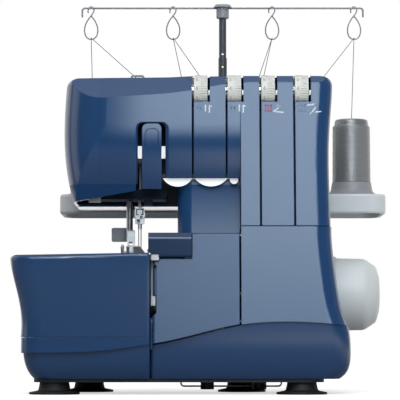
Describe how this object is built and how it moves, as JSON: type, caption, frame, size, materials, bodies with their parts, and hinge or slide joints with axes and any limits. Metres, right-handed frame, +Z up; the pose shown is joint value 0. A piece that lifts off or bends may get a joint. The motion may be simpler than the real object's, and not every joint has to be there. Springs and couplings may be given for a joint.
{
  "type": "overlock sewing machine",
  "caption": "Free-standing overlock sewing machine with tension dials, needle head, hinged looper cover, sliding bed, handwheel and a telescoping thread mast over cone holders.",
  "frame": {"origin": "middle of the machine's outline on the table", "axes": "+X to the right along the front, +Y to the rear, +Z up"},
  "size_m": [0.353, 0.27, 0.381],
  "materials": {
    "blue_plastic": "glossy moulded",
    "ivory_plastic": "satin moulded",
    "grey_plastic": "satin moulded",
    "tray_plastic": "satin moulded",
    "white_plastic": "glossy moulded",
    "black_plastic": "fine grained",
    "black_rubber": "matte",
    "cast_alloy": "cast",
    "steel": "ground",
    "chrome": "polished",
    "bronze": "machined",
    "motor_paint": "satin",
    "lamp_lens": "frosted",
    "mast_paint": "satin",
    "wire": "drawn, dark",
    "thread": "wound thread"
  },
  "bodies": {
    "machine": {"base_left_casing": "blue_plastic", "base_plate": "black_plastic", "chip_guard": "blue_plastic", "cone_holders": "tray_plastic", "cover_latch": "grey_plastic", "drive_belt": "black_rubber", "free_arm_casing": "cast_alloy", "guide_threads": "thread", "head_frame": "motor_paint", "lamp": "lamp_lens", "lower_casing": "blue_plastic", "lower_knife": "steel", "main_frame": "cast_alloy", "mains_inlet": "black_plastic", "mast_lower": "mast_paint", "motor": "motor_paint", "needle_plate": "steel", "rear_cover": "blue_plastic", "shaft_bushes": "bronze", "spool_stand": "tray_plastic", "spool_threads": "thread", "suction_feet": "black_rubber", "take_up_tongue": "blue_plastic", "tension_block": "black_plastic", "tension_discs": "chrome", "thread_cones": "thread", "thread_guide_lips": "white_plastic", "top_thread_guides": "chrome", "top_threads": "thread", "upper_front_cover": "blue_plastic", "wire_bail": "steel"},
    "drive": {"handwheel": "grey_plastic", "main_shaft": "steel", "drive_pulley": "cast_alloy"},
    "rotor": {"motor_pulley": "bronze"},
    "needle": {"needle_bar": "steel", "needle_clamp": "chrome", "needles": "chrome", "clamp_screws": "chrome", "take_up_bar": "white_plastic"},
    "presser": {"presser_bar": "steel", "presser_ankle": "white_plastic", "presser_foot": "chrome"},
    "lifter": {"presser_lifter": "steel"},
    "looper_low": {"lower_looper": "steel"},
    "looper_high": {"upper_looper": "steel"},
    "knife": {"upper_knife": "steel"},
    "feed": {"feed_dogs": "steel"},
    "dial_1": {"tension_dial_1": "ivory_plastic"},
    "dial_2": {"tension_dial_2": "ivory_plastic"},
    "dial_3": {"tension_dial_3": "ivory_plastic"},
    "dial_4": {"tension_dial_4": "ivory_plastic"},
    "cover": {"looper_cover": "blue_plastic"},
    "bed": {"extension_bed": "blue_plastic"},
    "mast_mid": {"mast_middle": "mast_paint"},
    "mast_top": {"mast_upper": "mast_paint", "guide_rod": "wire"},
    "rocker": {"power_switch": "black_plastic"},
    "length_dial": {"stitch_length_dial": "grey_plastic"},
    "feed_lever": {"differential_lever": "grey_plastic"}
  },
  "joints": [
    {"name": "handwheel_turn", "type": "hinge", "parent": "machine", "child": "drive", "pos_m": [0.1147, -0.025, 0.092], "axis": [1, 0, 0], "continuous": true},
    {"name": "motor_turn", "type": "hinge", "parent": "machine", "child": "rotor", "pos_m": [0.092, 0.008, 0.046], "axis": [1, 0, 0], "continuous": true},
    {"name": "needle_bar_slide", "type": "slide", "parent": "machine", "child": "needle", "axis": [0, 0, 1], "range_m": [-0.016, 0.006]},
    {"name": "lower_looper_rock", "type": "hinge", "parent": "machine", "child": "looper_low", "pos_m": [-0.044, -0.04, 0.08], "axis": [0, 1, 0], "range_deg": [-10.2, 4.2]},
    {"name": "upper_looper_rock", "type": "hinge", "parent": "machine", "child": "looper_high", "pos_m": [-0.056, -0.04, 0.079], "axis": [0, 1, 0], "range_deg": [-4.2, 10.2]},
    {"name": "upper_knife_slide", "type": "slide", "parent": "machine", "child": "knife", "axis": [0, 0, 1], "range_m": [-0.0031, 0.0013]},
    {"name": "feed_slide", "type": "slide", "parent": "machine", "child": "feed", "axis": [0, 1, 0], "range_m": [-0.0008, 0.0016]},
    {"name": "lifter_swing", "type": "hinge", "parent": "machine", "child": "lifter", "pos_m": [-0.0715, -0.026, 0.214], "axis": [1, 0, 0], "range_deg": [0, 50]},
    {"name": "presser_slide", "type": "slide", "parent": "machine", "child": "presser", "axis": [0, 0, 1], "range_m": [0, 0.0061]},
    {"name": "looper_cover_swing", "type": "hinge", "parent": "machine", "child": "cover", "pos_m": [0, -0.1248, 0.0654], "axis": [1, 0, 0], "range_deg": [0, 80]},
    {"name": "bed_slide", "type": "slide", "parent": "machine", "child": "bed", "axis": [-1, 0, 0], "range_m": [0, 0.13]},
    {"name": "mast_upper_slide", "type": "slide", "parent": "mast_mid", "child": "mast_top", "axis": [0, 0, 1], "range_m": [-0.03, 0], "deforming": ["spool_threads", "guide_threads"]},
    {"name": "mast_middle_slide", "type": "slide", "parent": "machine", "child": "mast_mid", "axis": [0, 0, 1], "range_m": [-0.0201, 0]},
    {"name": "power_switch_rock", "type": "hinge", "parent": "machine", "child": "rocker", "pos_m": [0.1258, 0.026, 0.044], "axis": [0, 1, 0], "range_deg": [-12, 0]},
    {"name": "stitch_length_turn", "type": "hinge", "parent": "machine", "child": "length_dial", "pos_m": [0.1174, 0.024, 0.118], "axis": [1, 0, 0], "range_deg": [-120, 120]},
    {"name": "differential_swing", "type": "hinge", "parent": "machine", "child": "feed_lever", "pos_m": [0.1229, 0.024, 0.082], "axis": [1, 0, 0], "range_deg": [-25, 25]},
    {"name": "tension_dial_1_turn", "type": "hinge", "parent": "machine", "child": "dial_1", "pos_m": [-0.0053, -0.081, 0.277], "axis": [1, 0, 0], "range_deg": [-150, 150]},
    {"name": "tension_dial_2_turn", "type": "hinge", "parent": "machine", "child": "dial_2", "pos_m": [0.0255, -0.081, 0.277], "axis": [1, 0, 0], "range_deg": [-150, 150]},
    {"name": "tension_dial_3_turn", "type": "hinge", "parent": "machine", "child": "dial_3", "pos_m": [0.0563, -0.081, 0.277], "axis": [1, 0, 0], "range_deg": [-150, 150]},
    {"name": "tension_dial_4_turn", "type": "hinge", "parent": "machine", "child": "dial_4", "pos_m": [0.0871, -0.081, 0.277], "axis": [1, 0, 0], "range_deg": [-150, 150]}
  ],
  "couplings": [
    {"joint": "motor_turn", "follows": "handwheel_turn", "ratio": 3.25},
    {"joint": "lower_looper_rock", "follows": "needle_bar_slide", "rad_per_m": 10.908},
    {"joint": "upper_looper_rock", "follows": "needle_bar_slide", "rad_per_m": -10.908},
    {"joint": "upper_knife_slide", "follows": "needle_bar_slide", "ratio": 0.1875},
    {"joint": "feed_slide", "follows": "needle_bar_slide", "ratio": -0.09375},
    {"joint": "presser_slide", "follows": "lifter_swing", "m_per_rad": 0.006875},
    {"joint": "mast_middle_slide", "follows": "mast_upper_slide", "ratio": 0.6667}
  ]
}
